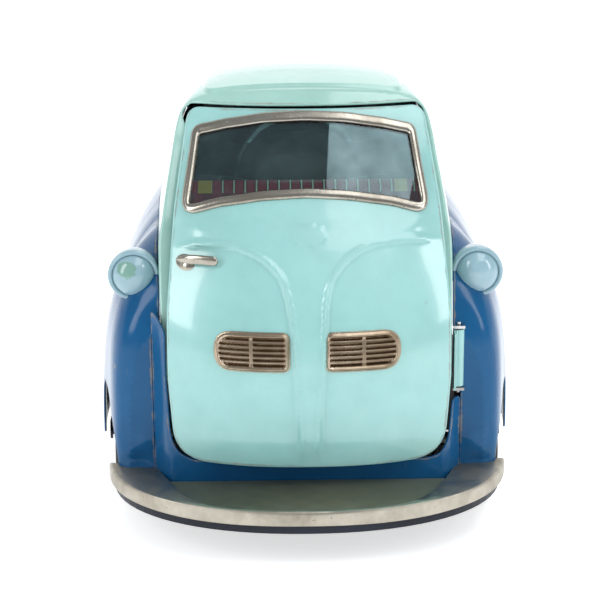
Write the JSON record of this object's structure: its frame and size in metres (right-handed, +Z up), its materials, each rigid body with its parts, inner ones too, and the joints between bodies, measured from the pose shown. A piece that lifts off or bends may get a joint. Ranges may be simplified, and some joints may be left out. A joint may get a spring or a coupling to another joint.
{
  "type": "friction tin car",
  "caption": "Pressed-tin bubble car with a front-opening door, plated bumper and vents, rubber tyres and a friction flywheel motor on the rear axle.",
  "frame": {"origin": "on the ground under the middle of the car's overall length and width", "axes": "the car faces -Y, +X is the car's own left, +Z up; it stands on its tyres at z = 0"},
  "size_m": [0.0944, 0.165, 0.0938],
  "materials": {
    "turquoise_paint": "gloss enamel",
    "blue_paint": "gloss enamel",
    "navy_paint": "satin enamel",
    "lamp_paint": "gloss enamel",
    "nickel_trim": "aged nickel plate",
    "plain_steel": "mill finish",
    "gear_brass": "satin",
    "flywheel_iron": "rough",
    "tyre_rubber": "matt",
    "clear_pane": "clear sheet",
    "red_lens": "gloss",
    "litho_print": "printed tin",
    "green_paint": "satin enamel"
  },
  "bodies": {
    "body": {"upper_body_shell": "turquoise_paint", "lower_body_shell": "blue_paint", "base_plate": "navy_paint", "front_bumper": "nickel_trim", "rear_bumper": "nickel_trim", "headlamp_shell_left": "lamp_paint", "headlamp_lens_left": "lamp_paint", "headlamp_shell_right": "lamp_paint", "headlamp_lens_right": "lamp_paint", "tail_lamp_left": "red_lens", "tail_lamp_right": "red_lens", "axle_bracket_left": "plain_steel", "axle_bracket_right": "plain_steel", "hinge_pin": "plain_steel", "hinge_bracket": "plain_steel", "side_window_left": "clear_pane", "side_window_right": "clear_pane", "rear_window": "clear_pane", "cabin_seat": "litho_print", "cabin_floor": "green_paint", "motor_plate_left": "plain_steel", "motor_plate_right": "plain_steel", "motor_spacer_1": "plain_steel", "motor_spacer_2": "plain_steel", "motor_spacer_3": "plain_steel"},
    "door": {"door_panel": "turquoise_paint", "windshield_frame": "nickel_trim", "windshield": "clear_pane", "vent_grille_left": "nickel_trim", "vent_grille_right": "nickel_trim", "door_handle": "nickel_trim", "door_hinge_leaf": "turquoise_paint", "door_latch_tab": "plain_steel"},
    "front_wheels": {"front_axle": "plain_steel", "hub_front_left": "nickel_trim", "hub_front_right": "nickel_trim", "tyre_front_left": "tyre_rubber", "tyre_front_right": "tyre_rubber"},
    "rear_wheels": {"rear_axle": "plain_steel", "hub_rear_left": "nickel_trim", "hub_rear_right": "nickel_trim", "tyre_rear_left": "tyre_rubber", "tyre_rear_right": "tyre_rubber", "axle_gear": "gear_brass"},
    "idler": {"idler_shaft": "plain_steel", "idler_pinion": "gear_brass", "idler_gear": "gear_brass"},
    "flywheel": {"flywheel_shaft": "plain_steel", "flywheel_pinion": "gear_brass", "flywheel_left": "flywheel_iron", "flywheel_right": "flywheel_iron"}
  },
  "joints": [
    {"name": "door_hinge", "type": "hinge", "parent": "body", "child": "door", "pos_m": [0.0324, -0.0576, 0.038], "axis": [0, 0, 1], "range_deg": [0, 85]},
    {"name": "front_axle_spin", "type": "hinge", "parent": "body", "child": "front_wheels", "pos_m": [0, -0.042, 0.0132], "axis": [1, 0, 0], "continuous": true},
    {"name": "flywheel_spin", "type": "hinge", "parent": "body", "child": "flywheel", "pos_m": [0, 0.0343, 0.0246], "axis": [1, 0, 0], "continuous": true},
    {"name": "idler_spin", "type": "hinge", "parent": "body", "child": "idler", "pos_m": [0, 0.0415, 0.0192], "axis": [1, 0, 0], "continuous": true},
    {"name": "rear_axle_spin", "type": "hinge", "parent": "body", "child": "rear_wheels", "pos_m": [0, 0.0495, 0.0132], "axis": [1, 0, 0], "continuous": true}
  ],
  "couplings": [
    {"joint": "idler_spin", "follows": "flywheel_spin", "ratio": -0.28571},
    {"joint": "rear_axle_spin", "follows": "flywheel_spin", "ratio": 0.071429}
  ]
}
